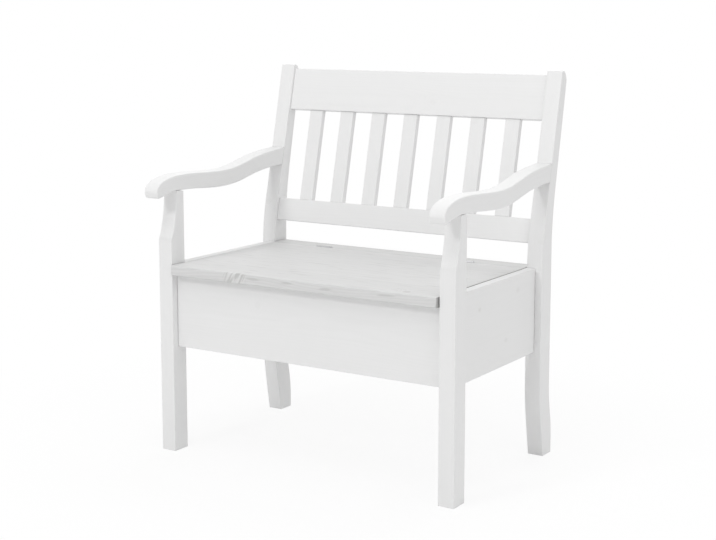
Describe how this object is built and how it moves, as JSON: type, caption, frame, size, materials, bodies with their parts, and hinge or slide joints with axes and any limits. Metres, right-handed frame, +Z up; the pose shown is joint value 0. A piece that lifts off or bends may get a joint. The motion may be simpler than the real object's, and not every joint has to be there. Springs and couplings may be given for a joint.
{
  "type": "storage bench with armrests",
  "caption": "Painted wooden bench with curved armrests and a leaning slatted back; its seat is a hinged lid over a storage chest.",
  "frame": {"origin": "on the floor, under the middle of the bench's bounding box", "axes": "+Z up, +X to the right of someone looking at the front, -Y the front"},
  "size_m": [0.81, 0.5906, 0.9199],
  "materials": {
    "white_paint": "opaque white paint with a low sheen on pine",
    "grey_wax": "pale grey wax on pine, the grain showing through",
    "bare_pine": "sawn and planed, unfinished",
    "zinc_steel": "zinc plated"
  },
  "bodies": {
    "bench": {"armrest_left": "white_paint", "armrest_left_dowel_1": "bare_pine", "armrest_left_dowel_2": "bare_pine", "armrest_left_dowel_3": "bare_pine", "armrest_right": "white_paint", "armrest_right_dowel_1": "bare_pine", "armrest_right_dowel_2": "bare_pine", "armrest_right_dowel_3": "bare_pine", "back_lower_rail": "white_paint", "back_slat_1": "white_paint", "back_slat_2": "white_paint", "back_slat_3": "white_paint", "back_slat_4": "white_paint", "back_slat_5": "white_paint", "back_slat_6": "white_paint", "back_slat_7": "white_paint", "back_top_rail": "white_paint", "chest_floor": "white_paint", "floor_cleat_front": "white_paint", "floor_cleat_left": "white_paint", "floor_cleat_rear": "white_paint", "floor_cleat_right": "white_paint", "front_apron": "white_paint", "front_leg_left": "white_paint", "front_leg_right": "white_paint", "hinge_left_frame_leaf": "zinc_steel", "hinge_left_frame_screw_1": "zinc_steel", "hinge_left_frame_screw_2": "zinc_steel", "hinge_left_pin": "zinc_steel", "hinge_right_frame_leaf": "zinc_steel", "hinge_right_frame_screw_1": "zinc_steel", "hinge_right_frame_screw_2": "zinc_steel", "hinge_right_pin": "zinc_steel", "rear_leg_left": "white_paint", "rear_leg_right": "white_paint", "rear_panel": "white_paint", "rear_seat_strip": "grey_wax", "side_panel_left": "white_paint", "side_panel_right": "white_paint", "strip_dowel_1": "bare_pine", "strip_dowel_2": "bare_pine", "strip_dowel_3": "bare_pine"},
    "lid": {"hinge_left_lid_leaf": "zinc_steel", "hinge_left_lid_screw_1": "zinc_steel", "hinge_left_lid_screw_2": "zinc_steel", "hinge_right_lid_leaf": "zinc_steel", "hinge_right_lid_screw_1": "zinc_steel", "hinge_right_lid_screw_2": "zinc_steel", "lid_batten_left": "bare_pine", "lid_batten_left_screw_1": "zinc_steel", "lid_batten_left_screw_2": "zinc_steel", "lid_batten_right": "bare_pine", "lid_batten_right_screw_1": "zinc_steel", "lid_batten_right_screw_2": "zinc_steel", "seat_lid": "grey_wax"}
  },
  "joints": [
    {"name": "lid_hinge", "type": "hinge", "parent": "bench", "child": "lid", "pos_m": [0, 0.16908, 0.4605], "axis": [-1, 0, 0], "range_deg": [0, 102]}
  ]
}
